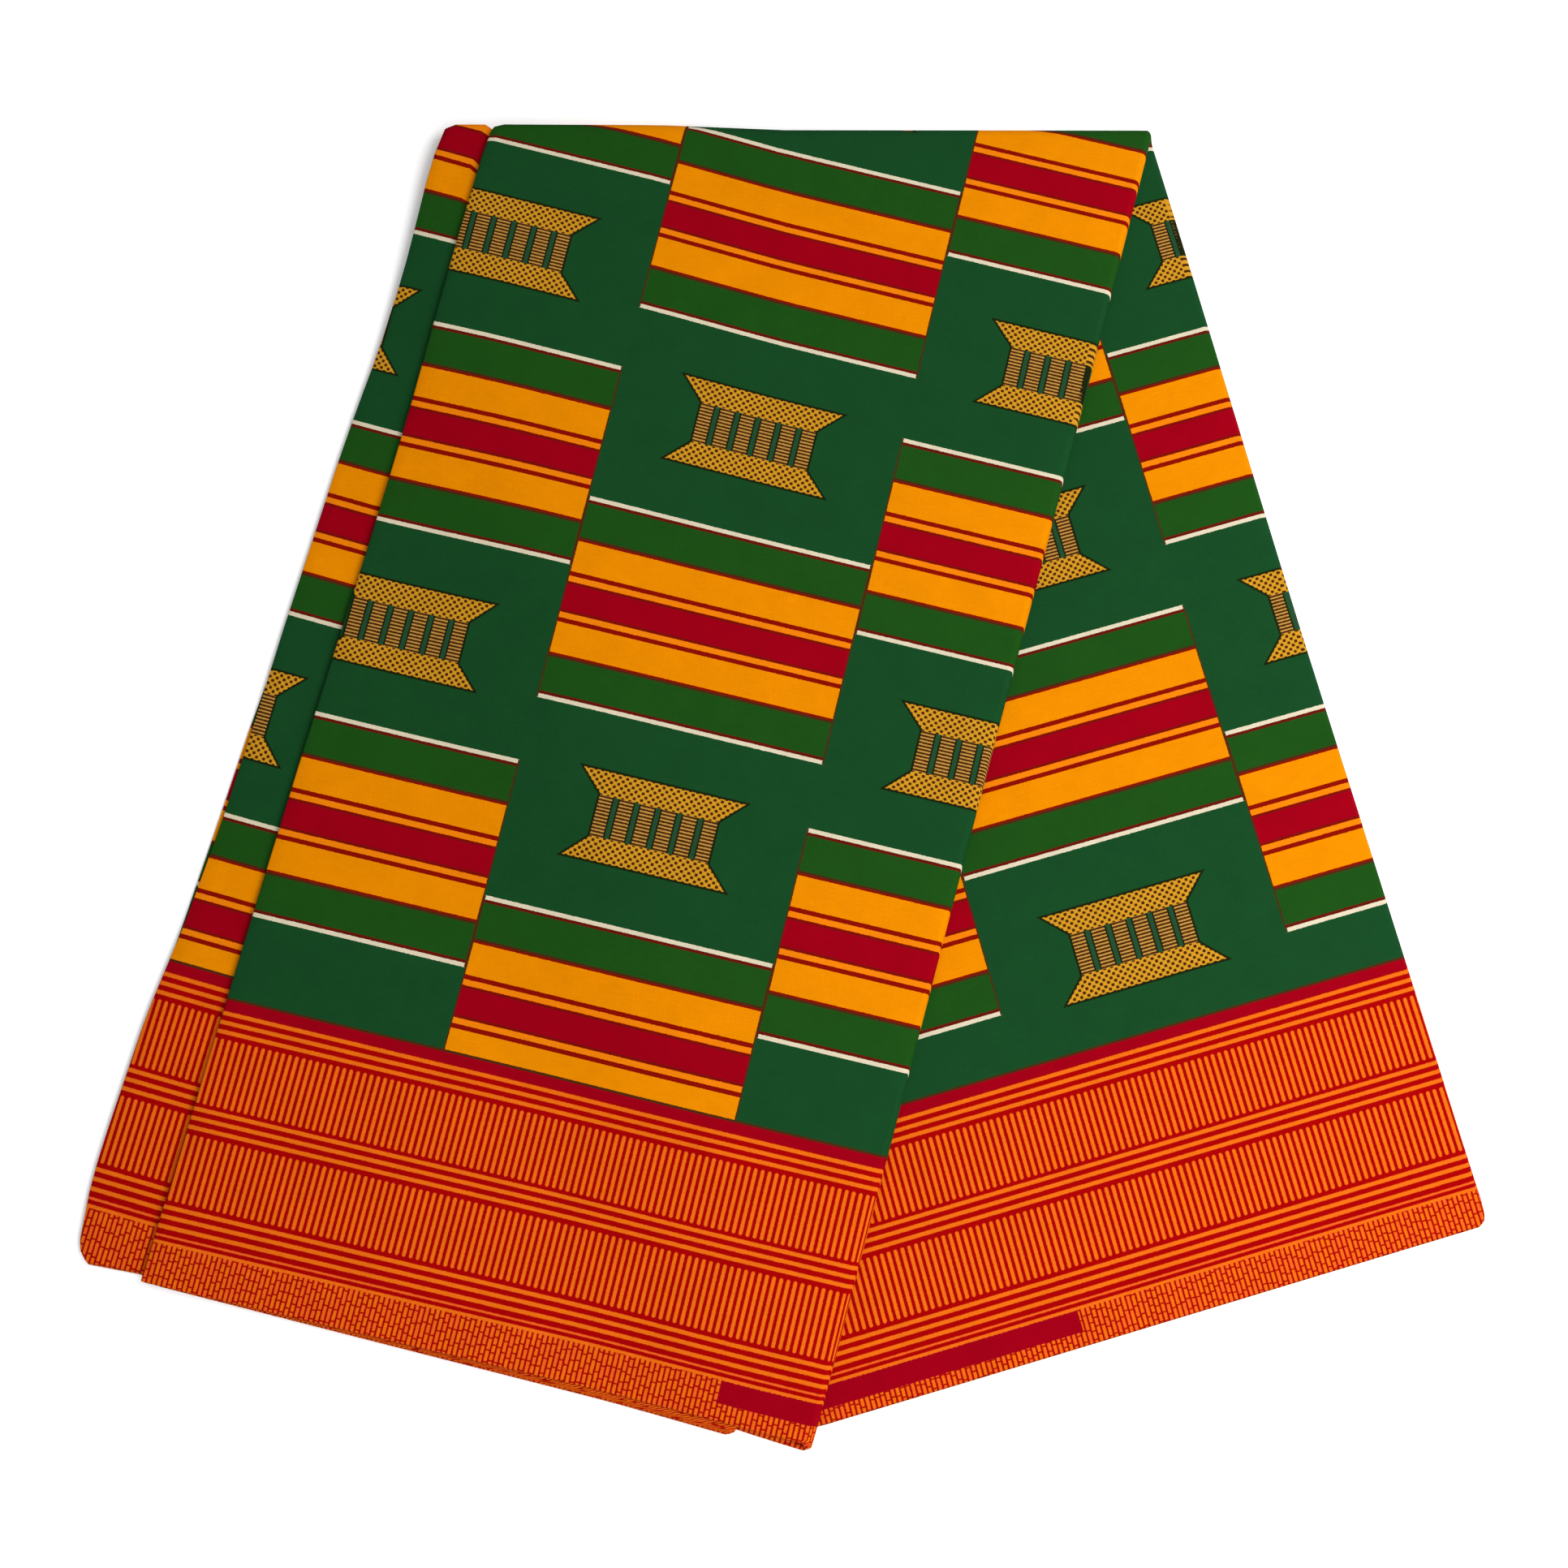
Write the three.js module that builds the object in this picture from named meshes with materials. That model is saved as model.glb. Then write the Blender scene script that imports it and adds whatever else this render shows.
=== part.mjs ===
// Folded cotton cloth with a kente print, lying as an upside-down V.
// The cloth is folded lengthwise into a flat strip of layers. The strip is then folded once across,
// over a line that is not square to it, so that its two legs spread like the legs of a V.
// Millimetres, +Z up. The cloth lies on Z = 0 with its cross fold along X, at the +Y side.
// The front leg lies on top and runs to -X, -Y. The back leg lies under it and runs to +X, -Y.
import * as THREE from "three";

// Driving sizes.
const CLOTH_WIDTH = 1150; // selvedge to selvedge, which runs along the strip and over the cross fold
const STRIP_WIDTH = 303; // across the strip, from its left fold to its right fold
const SHEET = 1.1; // one modelled layer, which stands for four plies of thin cotton
const LAYER_GAP = 0.4;
const LEG_GAP = 1.0; // between the two legs where one lies on the other
const FRONT_LEAN = THREE.MathUtils.degToRad(14.7); // each leg's turn from square to the cross fold
const BACK_LEAN = THREE.MathUtils.degToRad(15.3);

// The strip's right side is one round turn of the outer sheet, with a smaller turn inside it.
const EDGE_ROLL = 7; // half width of the outer turn
const SMALL_ROLL = 0.85; // half width of the inner turn and of the left fold of the two upper layers

// Length of the front leg from the middle of the cross fold, along the strip, at its two sides.
const FRONT_LEFT = 555.5;
const FRONT_RIGHT = 622;

// Layers are counted from the front leg's top. Each row says how far a layer's front selvedge stands
// past the top layer's, at the strip's left side, at six tenths of its width and at its right side.
const SELVEDGE_STEPS = [
  { layer: 1, left: 0, middle: 0, right: 0 },
  { layer: 2, left: -9, middle: -1, right: 12 },
  { layer: 3, left: -5, middle: 0, right: 12 },
  { layer: 4, left: -21, middle: -7, right: 1 },
];
const STEP_PLACES = { left: 0, middle: 0.62, right: 1 };

// How far the two lower layers stand out past the strip's left fold, and how far the inner turn lies
// back from the right side, from the front selvedge (0) over the cross fold (1) to the back one (2).
const SIDE_SLIPS = [
  { along: 0, layer3: 27, layer4: 26, inner: 37 },
  { along: 0.08, layer3: 29, layer4: 31, inner: 30 },
  { along: 0.25, layer3: 28.5, layer4: 33, inner: 12 },
  { along: 0.5, layer3: 25, layer4: 23, inner: 6 },
  { along: 1, layer3: 21, layer4: 18, inner: 6 },
  { along: 2, layer3: 21, layer4: 17, inner: 8 },
];

// The front leg comes down from the back leg to the surface in one soft slope.
const SLOPE_START = 15; // past the back leg's left fold
const SLOPE_WIDTH = 90;
const SLOPE_EASE = 35; // the slope starts this far from the cross fold
const OVERHANG_SLOPE = 20; // the back leg's two slipped layers come down over this width
const UNEVEN = 0.05; // share by which the stack's height swells and sinks
const SWELL = { shortX: 61, longY: 97, shortY: 73, longX: 140 }; // its waves' lengths, over two pi

// Mesh steps.
const STEPS_ACROSS = 12; // along each layer
const OUTER_TURN_STEPS = 8;
const SMALL_TURN_STEPS = 5;
const FRONT_STEPS = 18;
const BEND_STEPS = 8;
const BACK_STEPS = 12;
const STATIONS = FRONT_STEPS + BEND_STEPS + BACK_STEPS;

const LAYERS = 4;
const PITCH = SHEET + LAYER_GAP;
const STACK = LAYERS * SHEET + (LAYERS - 1) * LAYER_GAP;
const BEND_RADIUS = LEG_GAP / 2; // inside the innermost layer
const BEND_HEIGHT = STACK + BEND_RADIUS; // the cross fold's axis
const LEAN = (FRONT_LEAN + BACK_LEAN) / 2;
const OUTER_CENTRE = STRIP_WIDTH - EDGE_ROLL;
const OVERHANG_GRID = [-15, -8, 0]; // places across the part that stands out past the left fold
const INNER_LAYERS = [2, 3]; // the inner turn joins them, short of the grid's last place
const GRID = Array.from({ length: STEPS_ACROSS - 1 }, (_, i) => ((i + 1) * OUTER_CENTRE) / STEPS_ACROSS);

const layerHeight = (layer) => STACK - SHEET / 2 - (layer - 1) * PITCH;
const smooth = (x) => THREE.MathUtils.smoothstep(x, 0, 1);

// Value of one column of a table at a place, in a straight line between its rows.
function fromTable(rows, key, column, at) {
  const next = rows.findIndex((row) => row[key] >= at);
  if (next === 0) return rows[0][column];
  if (next < 0) return rows.at(-1)[column];
  const [a, b] = [rows[next - 1], rows[next]];
  return THREE.MathUtils.lerp(a[column], b[column], (at - a[key]) / (b[key] - a[key]));
}

// Length of a layer's front leg at one place across the strip. The rest of the cloth's width is its back leg.
function frontLength(layer, s) {
  const across = s / STRIP_WIDTH;
  const step = SELVEDGE_STEPS[layer - 1];
  const places = ["left", "middle", "right"].map((name) => ({ across: STEP_PLACES[name], past: step[name] }));
  return THREE.MathUtils.lerp(FRONT_LEFT, FRONT_RIGHT, across) + fromTable(places, "across", "past", across);
}

// The middle line of the folded sheet across the strip, at one place along it. Each point has s across
// the strip, h above the front leg's underside, and the two layers that it lies between.
function sectionLine(along) {
  const slip = (column) => fromTable(SIDE_SLIPS, "along", column, along);
  const innerCentre = STRIP_WIDTH - slip("inner") - SMALL_ROLL;
  const points = [];
  // All layers share the grid's places across, so that they stay apart where the leg slopes.
  const straight = (layer, left, right) => {
    const overhang = left < 0 ? [left, ...OVERHANG_GRID] : [left];
    const shared = INNER_LAYERS.includes(layer) ? GRID.slice(0, -1) : GRID;
    return [...overhang, ...shared, right].map((s) => ({
      s, h: layerHeight(layer), layer, other: layer, share: 0,
    }));
  };
  const turn = (layer, other, centre, halfWidth, steps) => {
    const [from, to] = [layerHeight(layer), layerHeight(other)];
    for (let i = 1; i < steps; i++) {
      const angle = (Math.PI * i) / steps;
      const share = (1 - Math.cos(angle)) / 2;
      points.push({
        s: centre + halfWidth * Math.sin(angle),
        h: THREE.MathUtils.lerp(from, to, share),
        layer, other, share,
      });
    }
  };
  points.push(...straight(3, -slip("layer3"), innerCentre));
  turn(3, 2, innerCentre, SMALL_ROLL, SMALL_TURN_STEPS);
  points.push(...straight(2, SMALL_ROLL, innerCentre).reverse());
  turn(2, 1, SMALL_ROLL, -SMALL_ROLL, SMALL_TURN_STEPS);
  points.push(...straight(1, SMALL_ROLL, OUTER_CENTRE));
  turn(1, 4, OUTER_CENTRE, EDGE_ROLL, OUTER_TURN_STEPS);
  points.push(...straight(4, -slip("layer4"), OUTER_CENTRE).reverse());
  return points;
}

// Both faces of the sheet, half its thickness to each side of the middle line.
function sectionFaces(along) {
  const line = sectionLine(along);
  return line.map((point, i) => {
    const before = line[Math.max(i - 1, 0)];
    const after = line[Math.min(i + 1, line.length - 1)];
    const length = Math.hypot(after.s - before.s, after.h - before.h);
    const [ns, nh] = [-(after.h - before.h) / length, (after.s - before.s) / length];
    return [1, -1].map((side) => ({
      ...point,
      s: point.s + (side * ns * SHEET) / 2,
      h: point.h + (side * nh * SHEET) / 2,
    }));
  });
}

// The sheet is not ironed: the stack is a little higher in some places than in others.
function swell(x, y) {
  const one = Math.sin(x / SWELL.shortX + y / SWELL.longY);
  const two = Math.cos(y / SWELL.shortY - x / SWELL.longX);
  return UNEVEN * one * two;
}

// A place on the front leg, from s across the strip and distance y past the cross fold.
function onFrontLeg(s, h, y) {
  const radius = BEND_RADIUS + h;
  const x = s / Math.cos(LEAN) + (y - (Math.PI * radius) / 2) * Math.tan(FRONT_LEAN);
  const acrossBackLeg = (x + y * Math.tan(BACK_LEAN)) * Math.cos(LEAN);
  const down = smooth((-SLOPE_START - acrossBackLeg) / SLOPE_WIDTH) * smooth(-y / SLOPE_EASE);
  const raised = h * (1 + swell(x, y) * smooth(-y / SLOPE_EASE));
  return new THREE.Vector3(x, y, (STACK + LEG_GAP) * (1 - down) + raised);
}

function onBend(s, h, angle) {
  const radius = BEND_RADIUS + h;
  const past = (angle - Math.PI / 2) * radius;
  const x = s / Math.cos(LEAN) + past * Math.tan(past < 0 ? FRONT_LEAN : BACK_LEAN);
  return new THREE.Vector3(x, radius * Math.sin(angle), BEND_HEIGHT + radius * Math.cos(angle));
}

function onBackLeg(s, h, y) {
  const radius = BEND_RADIUS + h;
  const x = s / Math.cos(LEAN) + ((Math.PI * radius) / 2 - y) * Math.tan(BACK_LEAN);
  const ease = smooth(-y / SLOPE_EASE);
  const down = 2 * PITCH * smooth((-SMALL_ROLL - s) / OVERHANG_SLOPE) * ease;
  return new THREE.Vector3(x, y, (STACK - h - down) * (1 + swell(x, y) * ease));
}

// One place on the sheet. The station runs from 0 at the front selvedge to the last at the back one.
// Layers share the stations' places too, all but the selvedges themselves.
function place({ s, h, layer, other, share }, station) {
  const front = THREE.MathUtils.lerp(frontLength(layer, s), frontLength(other, s), share);
  const quarterTurn = ((BEND_RADIUS + h) * Math.PI) / 2;
  const shared = THREE.MathUtils.lerp(FRONT_LEFT, FRONT_RIGHT, s / STRIP_WIDTH);
  if (station === 0) return onFrontLeg(s, h, quarterTurn - front * Math.cos(FRONT_LEAN));
  if (station < FRONT_STEPS) {
    return onFrontLeg(s, h, -shared * Math.cos(FRONT_LEAN) * (1 - station / FRONT_STEPS));
  }
  if (station <= FRONT_STEPS + BEND_STEPS) {
    return onBend(s, h, (Math.PI * (station - FRONT_STEPS)) / BEND_STEPS);
  }
  if (station === STATIONS) return onBackLeg(s, h, quarterTurn - (CLOTH_WIDTH - front) * Math.cos(BACK_LEAN));
  const reached = (station - FRONT_STEPS - BEND_STEPS) / BACK_STEPS;
  return onBackLeg(s, h, -(CLOTH_WIDTH - shared) * Math.cos(BACK_LEAN) * reached);
}

// How far along the sheet a station is: 0 front selvedge, 1 cross fold, 2 back selvedge.
function alongOf(station) {
  if (station < FRONT_STEPS) return station / FRONT_STEPS;
  return 1 + Math.max(0, station - FRONT_STEPS - BEND_STEPS) / BACK_STEPS;
}

const turned = ([a, b, c, d]) => [b, c, d, a];

// The closed skin of the whole sheet: its two faces, its two cut ends and its two selvedges.
function sheetGeometry() {
  const last = STATIONS;
  const sections = Array.from({ length: last + 1 }, (_, station) => sectionFaces(alongOf(station)));
  const columns = sections[0].length;
  const positions = sections.flatMap((faces, station) =>
    faces.flat().flatMap((point) => place(point, station).toArray()),
  );
  const at = (station, column, side) => (station * columns + column) * 2 + side;
  const index = [];
  const quad = (a, b, c, d) => index.push(a, b, c, a, c, d);
  for (let station = 0; station < last; station++) {
    const next = station + 1;
    for (let column = 0; column + 1 < columns; column++) {
      const beside = column + 1;
      const corners = [[station, column], [station, beside], [next, beside], [next, column]];
      const upper = corners.map(([along, across]) => at(along, across, 0));
      const lower = [1, 0, 3, 2].map((corner) => at(...corners[corner], 1));
      // The quads of all layers are split along the same diagonal.
      const rightwards = sections[0][beside][0].s > sections[0][column][0].s;
      quad(...(rightwards ? upper : turned(upper)));
      quad(...(rightwards ? turned(lower) : lower));
    }
    const end = columns - 1;
    quad(at(station, 0, 1), at(station, 0, 0), at(next, 0, 0), at(next, 0, 1));
    quad(at(station, end, 0), at(station, end, 1), at(next, end, 1), at(next, end, 0));
  }
  for (let column = 0; column + 1 < columns; column++) {
    const beside = column + 1;
    quad(at(0, column, 1), at(0, beside, 1), at(0, beside, 0), at(0, column, 0));
    quad(at(last, column, 0), at(last, beside, 0), at(last, beside, 1), at(last, column, 1));
  }
  return new THREE.BufferGeometry()
    .setAttribute("position", new THREE.Float32BufferAttribute(positions, 3))
    .setIndex(index);
}

const printedCotton = new THREE.MeshStandardMaterial({
  color: 0x1c5a2c,
  roughness: 0.85,
  metalness: 0,
  side: THREE.DoubleSide,
});

const cloth = new THREE.Mesh(sheetGeometry(), printedCotton);
cloth.name = "cloth";
cloth.geometry.computeVertexNormals();

// The part's origin is the middle of its outline, on the surface that it lies on.
const outline = new THREE.Box3().setFromObject(cloth);
const middle = outline.getCenter(new THREE.Vector3());
cloth.position.set(-middle.x, -middle.y, 0);

const part = new THREE.Group();
part.add(cloth);
export default part;
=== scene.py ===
"""Folded cotton cloth with a kente print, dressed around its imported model.

The cloth is one thin sheet, folded lengthwise into a flat strip of plies and then once across over a
slanting line. Its folds are worked out in millimetres in the part's own layout, where x = 0, y = 0 is
the strip's left fold on the cross fold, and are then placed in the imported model's frame.
"""

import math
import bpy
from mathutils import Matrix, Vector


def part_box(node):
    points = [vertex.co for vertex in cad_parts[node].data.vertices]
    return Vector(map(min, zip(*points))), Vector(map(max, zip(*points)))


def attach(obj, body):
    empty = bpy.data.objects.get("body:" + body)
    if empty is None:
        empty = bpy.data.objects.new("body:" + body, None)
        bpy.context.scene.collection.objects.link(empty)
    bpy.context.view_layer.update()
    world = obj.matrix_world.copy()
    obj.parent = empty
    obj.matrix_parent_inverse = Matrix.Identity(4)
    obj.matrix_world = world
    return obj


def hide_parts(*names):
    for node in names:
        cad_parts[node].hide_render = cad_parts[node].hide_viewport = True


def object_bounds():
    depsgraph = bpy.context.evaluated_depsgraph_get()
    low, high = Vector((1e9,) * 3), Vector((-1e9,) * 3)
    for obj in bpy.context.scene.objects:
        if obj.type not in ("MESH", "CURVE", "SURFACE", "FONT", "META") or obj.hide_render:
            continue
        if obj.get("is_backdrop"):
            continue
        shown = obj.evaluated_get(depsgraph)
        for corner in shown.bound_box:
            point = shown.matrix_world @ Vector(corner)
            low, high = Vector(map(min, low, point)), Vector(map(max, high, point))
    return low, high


bl_info = {
    "name": "Folded Kente Print Cloth",
    "version": (1, 0, 0),
    "blender": (4, 5, 0),
    "location": "View3D > Sidebar > Folded Cloth",
    "description": "Makes a folded cotton cloth with a kente print, its material and a plain studio stage",
    "category": "Add Mesh",
}

from collections import namedtuple

import bpy
from bpy.props import FloatProperty, FloatVectorProperty, IntProperty, PointerProperty
from mathutils import Vector

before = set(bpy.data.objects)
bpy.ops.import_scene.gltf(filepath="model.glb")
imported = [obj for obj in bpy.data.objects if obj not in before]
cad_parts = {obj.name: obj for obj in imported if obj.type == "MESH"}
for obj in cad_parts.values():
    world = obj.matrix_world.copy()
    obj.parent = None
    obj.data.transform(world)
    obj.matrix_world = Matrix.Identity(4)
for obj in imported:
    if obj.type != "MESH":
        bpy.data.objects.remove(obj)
CAD_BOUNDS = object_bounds()
CLOTH_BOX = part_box("cloth")

MM = 0.001

# The strip's fold, in millimetres.
CLOTH_WIDTH = 1150.0  # selvedge to selvedge, along the strip
FRONT_LEAN = math.radians(14.7)  # each leg's turn from square to the cross fold
BACK_LEAN = math.radians(15.3)
LEAN = (FRONT_LEAN + BACK_LEAN) / 2
# The plies share their mesh steps down each leg: how far these go at the left and right side. They stop
# short of every ply's selvedge.
FRONT_SHARED = (520.0, 604.0)
BACK_SHARED = (572.0, 500.0)
END_STEPS = (0.0, 1.5, 4.5, 9.0)  # and the steps that follow each ply's own selvedge, from there
LAYOUT_MIDDLE = (144.5, -297.1)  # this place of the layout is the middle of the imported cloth
STACK = 5.6  # all plies of one leg
LEG_GAP = 1.0
BEND_RADIUS = LEG_GAP / 2
BEND_HEIGHT = STACK + BEND_RADIUS
PLIES = 16
ALL_PLIES = range(1, PLIES + 1)  # counted from the front leg's top one
TOP_PLY = ALL_PLIES[0]  # shows on the front leg
LAST_PLY = ALL_PLIES[-1]  # shows on the back leg
PLIES_A_LAYER = 4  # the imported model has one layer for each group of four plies

# The sheet's way through its plies. Plies whose numbers add up to 17 are joined by a right fold, and
# the others by a left fold.
PATH = (16, 1, 8, 9, 12, 5, 4, 13, 14, 3, 6, 11, 10, 7, 2, 15)
UPPER_PLIES = range(1, 9)  # their left folds make the strip's left side, and the rest stand out past it
THIRD_PLIES = range(9, 13)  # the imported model's third layer
INNER_PLIES = range(5, 13)  # their right folds lie back from the outer ones

# How far from the cross fold each group of plies has its front selvedge: at the strip's left fold, and
# the gain for each millimetre across. The last ply of each group is named.
SelvedgeReach = namedtuple("SelvedgeReach", "last_ply left gain")
SELVEDGE_REACHES = (
    SelvedgeReach(4, 548.8, 0.229),
    SelvedgeReach(12, 549.0, 0.2455),
    SelvedgeReach(16, 535.7, 0.287),
)
OVERHANG_SHORTER = 3.0  # the inner plies are shorter where they stand out at the left
OVERHANG_GAIN = 0.0585
PLY_STEP = 0.35  # largest difference between two neighbouring plies of a group
PLY_FAN = 1.7  # an angle for each ply, which makes the plies of a group end unevenly

# The cross fold isn't quite straight: how much further it reaches at some places across the layout.
FOLD_RISE_PLACES = (0, 80, 140, 300)
FOLD_RISES = (6.4, 6.0, 3.4, 3.2)
FOLD_RISE_FADE = 250.0  # this far down the legs it is gone
OVERHANG_RISE = 3.2  # and more on the plies that stand out at the left, whose fold bulges
OVERHANG_RISE_START = 4.0
OVERHANG_RISE_FADE = 60.0

# How far the strip's plies stand out past its left side, and how far the outer and inner right folds
# lie back from its right side, from the front selvedge (0) over the cross fold (1) to the back one (2).
SideSlip = namedtuple("SideSlip", "along first third fourth inner outer")
SLIP_LENGTH = 546.0  # the front leg's length to the row at 0
SIDE_SLIPS = tuple(
    SideSlip(*row)
    for row in (
        (0, 2.5, 29.6, 27.6, 37, 3.3),
        (0.003, 2.5, 31.6, 29.6, 37, 3.3),
        (0.008, 2.5, 34, 32, 36.5, 3.3),
        (0.0165, 2.5, 35.6, 34, 36, 3.2),
        (0.05, 2.5, 38.2, 36.5, 35, 3),
        (0.08, 2.5, 38.7, 37, 33, 2.8),
        (0.12, 2.5, 38.3, 37, 30, 2.6),
        (0.2, 2.5, 37.2, 36, 20, 2),
        (0.25, 2.5, 34.6, 35.2, 14, 1.6),
        (0.28, 2.5, 33, 34.5, 13.5, 1.4),
        (0.37, 2.5, 30.6, 33, 12, 0.8),
        (0.45, 2.4, 30, 32, 11, 0.3),
        (0.55, 1.8, 29.8, 29.5, 10, -0.5),
        (0.7, 0.5, 28, 26, 10, -2),
        (0.75, 0, 26.6, 24, 10, -2.5),
        (0.8, 0, 24.3, 22, 10, -3),
        (0.87, 0, 23, 21, 10, -3.5),
        (0.95, 0, 23.8, 21, 10, -4),
        (1, 0, 23, 20, 10, -4.2),
        (1.1, 0, 21.5, 19, 10, -3.6),
        (1.5, 0, 21, 18, 10, -1.2),
        (2, 0, 21, 17, 10, 0.5),
    )
)

# The front leg comes down from the back leg to the surface in one soft slope.
SLOPE_START = 15.0
SLOPE_WIDTH = 90.0
SLOPE_EASE = 35.0
OVERHANG_SLOPE = 20.0  # the back leg's plies that stand out come down over this width
FLATTEST = 0.98  # and lose at most this share of their height

# The stack's height swells and sinks in waves of these lengths, over two pi.
Swell = namedtuple("Swell", "short_x long_y short_y long_x")
SWELL = Swell(61, 97, 73, 140)

LEFT_ROLL = 1.3  # half widths of the left folds' turns
THIRD_ROLL = 0.6
FOURTH_ROLL = 0.3
CORNER_RADIUS = 2.5  # the selvedges' right corners
FOLD_CORNER = 4.0  # the cross fold's left end is rounded this much

# Mesh steps. All plies share their places across, from the first one near the left side, but for the
# inner ones, which end sooner.
EDGE_PLACE = 5.5
STEPS_ACROSS = 22
INNER_PLACES_DROPPED = 3
INNER_STEPS = 2
OVERHANG_STEPS = 5
OUTER_TURN_STEPS = 12
TURN_STEPS = 5
FRONT_STEPS = 44
BEND_STEPS = 10
BACK_STEPS = 36
STATIONS = FRONT_STEPS + BEND_STEPS + BACK_STEPS

# Where the print lies on the plies that show. The print's own places are in millimetres too: u along
# the cloth's length and v across its width, from the front selvedge.
FRONT_EDGE = 2.3  # the print starts this far inside the front selvedge
BACK_EDGE = 1150.2
LEFT_PLY = 9  # shows on the front leg where the plies stand out at the left
LOWER_PLY = 13  # and just below it
PRINT_STARTS = {TOP_PLY: 34.2, LEFT_PLY: -556.0, LOWER_PLY: -1840.0}  # u - s on them, by the front selvedge
PRINT_UNDERNEATH = 642.9  # u + s on the ply that shows on the back leg
PRINT_STEPS = (8, LEFT_PLY, 4, LOWER_PLY)  # u makes up its difference on 8 and 4, out of sight
FOLD_DRIFTS = {TOP_PLY: 9.3, LAST_PLY: 17.0}  # what u has gained at the cross fold, as the cloth lies askew
PRINT_SKEW = 0.279  # v's change across the strip at the cross fold
FOLD_PRINTS = {TOP_PLY: 582.7, LAST_PLY: 580.3}  # v on the cross fold, half way across

# The front leg's top ply is a little stretched and bowed, so that the print's v is off a straight lie there:
# by these at the cross fold's left and right end, along the selvedge, and half way down.
BOW_FOLD = (5.5, -1.0)
BOW_SELVEDGE = -3.5
BOW_MIDDLE = -3.5
BOW_FADE = 60.0  # round the cross fold, out of sight, it fades out over this length

# The print on the plies that stand out at the left: v at distances down from the cross fold.
LEFT_PLACES = (0, 55, 149, 243, 341.5, 412, 525, 548)
LEFT_PRINTS = (526, 470.3, 376.4, 282.7, 188.7, 118.5, 12.5, -6)
LEFT_MIDDLE = -23.0
LEFT_SKEW = 0.28
LEFT_PLIES = range(9, 16)


# Plain helpers.
def clamp01(x):
    return min(max(x, 0.0), 1.0)


def smooth(x):
    x = clamp01(x)
    return x * x * (3 - 2 * x)


def lerp(a, b, share):
    return a + (b - a) * share


def from_rows(places, values, at):
    """Value at a place, in a straight line between the rows of a table."""
    for i in range(1, len(places)):
        if at <= places[i]:
            share = (at - places[i - 1]) / (places[i] - places[i - 1])
            return lerp(values[i - 1], values[i], clamp01(share))
    return values[-1]


def from_centre(ply, plies):
    """How far a ply is from the middle of a group of plies: 0 in the middle, 1 for the outer two."""
    return abs((plies[0] + plies[-1]) / 2 - ply) / ((plies[-1] - plies[0]) / 2)


def tone(red, green, blue):
    """A colour as it looks on a screen, 0 to 255, as the linear colour that Blender works in."""
    return tuple(
        c / 12.92 if c <= 0.04045 else ((c + 0.055) / 1.055) ** 2.4
        for c in (red / 255, green / 255, blue / 255)
    )


# Settings that a user would change.
def length(name, description, default):
    return FloatProperty(
        name=name, description=description, default=default, unit="LENGTH", subtype="DISTANCE"
    )


def colour(name, description, *screen):
    return FloatVectorProperty(
        name=name, description=description, default=tone(*screen), subtype="COLOR", min=0, max=1
    )


class ClothFoldSettings(bpy.types.PropertyGroup):
    strip_width: length("Strip width", "Width of the folded strip, from its left fold to its right", 0.303)
    edge_roll: length("Edge roll", "Half width of the round turn at the strip's right side", 0.002)
    thickness: length("Cloth thickness", "Thickness of the cotton", 0.00026)
    unevenness: FloatProperty(
        name="Unevenness",
        description="Share by which the stack's height swells and sinks",
        default=0.05,
        min=0,
        subtype="FACTOR",
    )


class ClothPrintSettings(bpy.types.PropertyGroup):
    column_width: length("Column width", "Width of one column of blocks", 0.1349)
    repeat: length("Repeat", "Length of one block and the ground after it", 0.18766)
    border: length("Border", "Width of the printed border along each selvedge", 0.1214)
    dash_pitch: length("Dash pitch", "Distance between the border's upright dashes", 0.00315)
    tick_pitch: length("Tick pitch", "Distance between the selvedge's small ticks", 0.00231)
    weave_pitch: length("Weave pitch", "Distance between two threads of the weave", 0.0005)
    ground: colour("Ground", "Dark green ground", 17, 59, 28)
    leaf: colour("Light green", "Light green stripes of the blocks", 22, 64, 16)
    yellow: colour("Yellow", "Yellow stripes of the blocks", 197, 115, 0)
    thin_yellow: colour("Thin yellow", "Thin yellow stripes beside the crimson one", 202, 108, 7)
    crimson: colour("Crimson", "Crimson stripe in the middle of a block", 129, 0, 16)
    red: colour("Red", "Thin red lines between the stripes", 115, 9, 2)
    dark_red: colour("Dark red", "Thin darker lines beside the crimson and the white ones", 83, 15, 7)
    brown: colour("Brown", "Thin dark lines where red lies over green", 63, 32, 12)
    white: colour("White", "White lines at a block's two ends", 186, 176, 152)
    gold: colour("Motif gold", "Gold of the motif's dotted bands", 174, 123, 28)
    pale_gold: colour("Motif pale gold", "Pale gold of the motif's striped columns", 160, 118, 54)
    dot: colour("Motif brown", "Brown of the motif's dots and thin lines", 56, 28, 5)
    outline: colour("Motif outline", "Dark outline of the motif", 19, 26, 8)
    bar: colour("Motif green", "Grey-green bars between the motif's columns", 28, 61, 37)
    border_red: colour("Border red", "Deep red of the border", 138, 1, 3)
    border_orange: colour("Border orange", "Orange of the border's lines and dashes", 196, 91, 12)
    border_salmon: colour("Border salmon", "Salmon tint of some of the border's marks", 197, 80, 23)


class ClothThreadSettings(bpy.types.PropertyGroup):
    count: IntProperty(name="Count", description="Number of loose thread ends", default=90, min=1)
    length: length("Length", "Length of the longest loose end", 0.0016)
    thickness: length("Thickness", "Thickness of a loose thread", 0.00012)
    colour: colour("Thread", "Orange cotton thread", 190, 96, 22)


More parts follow.
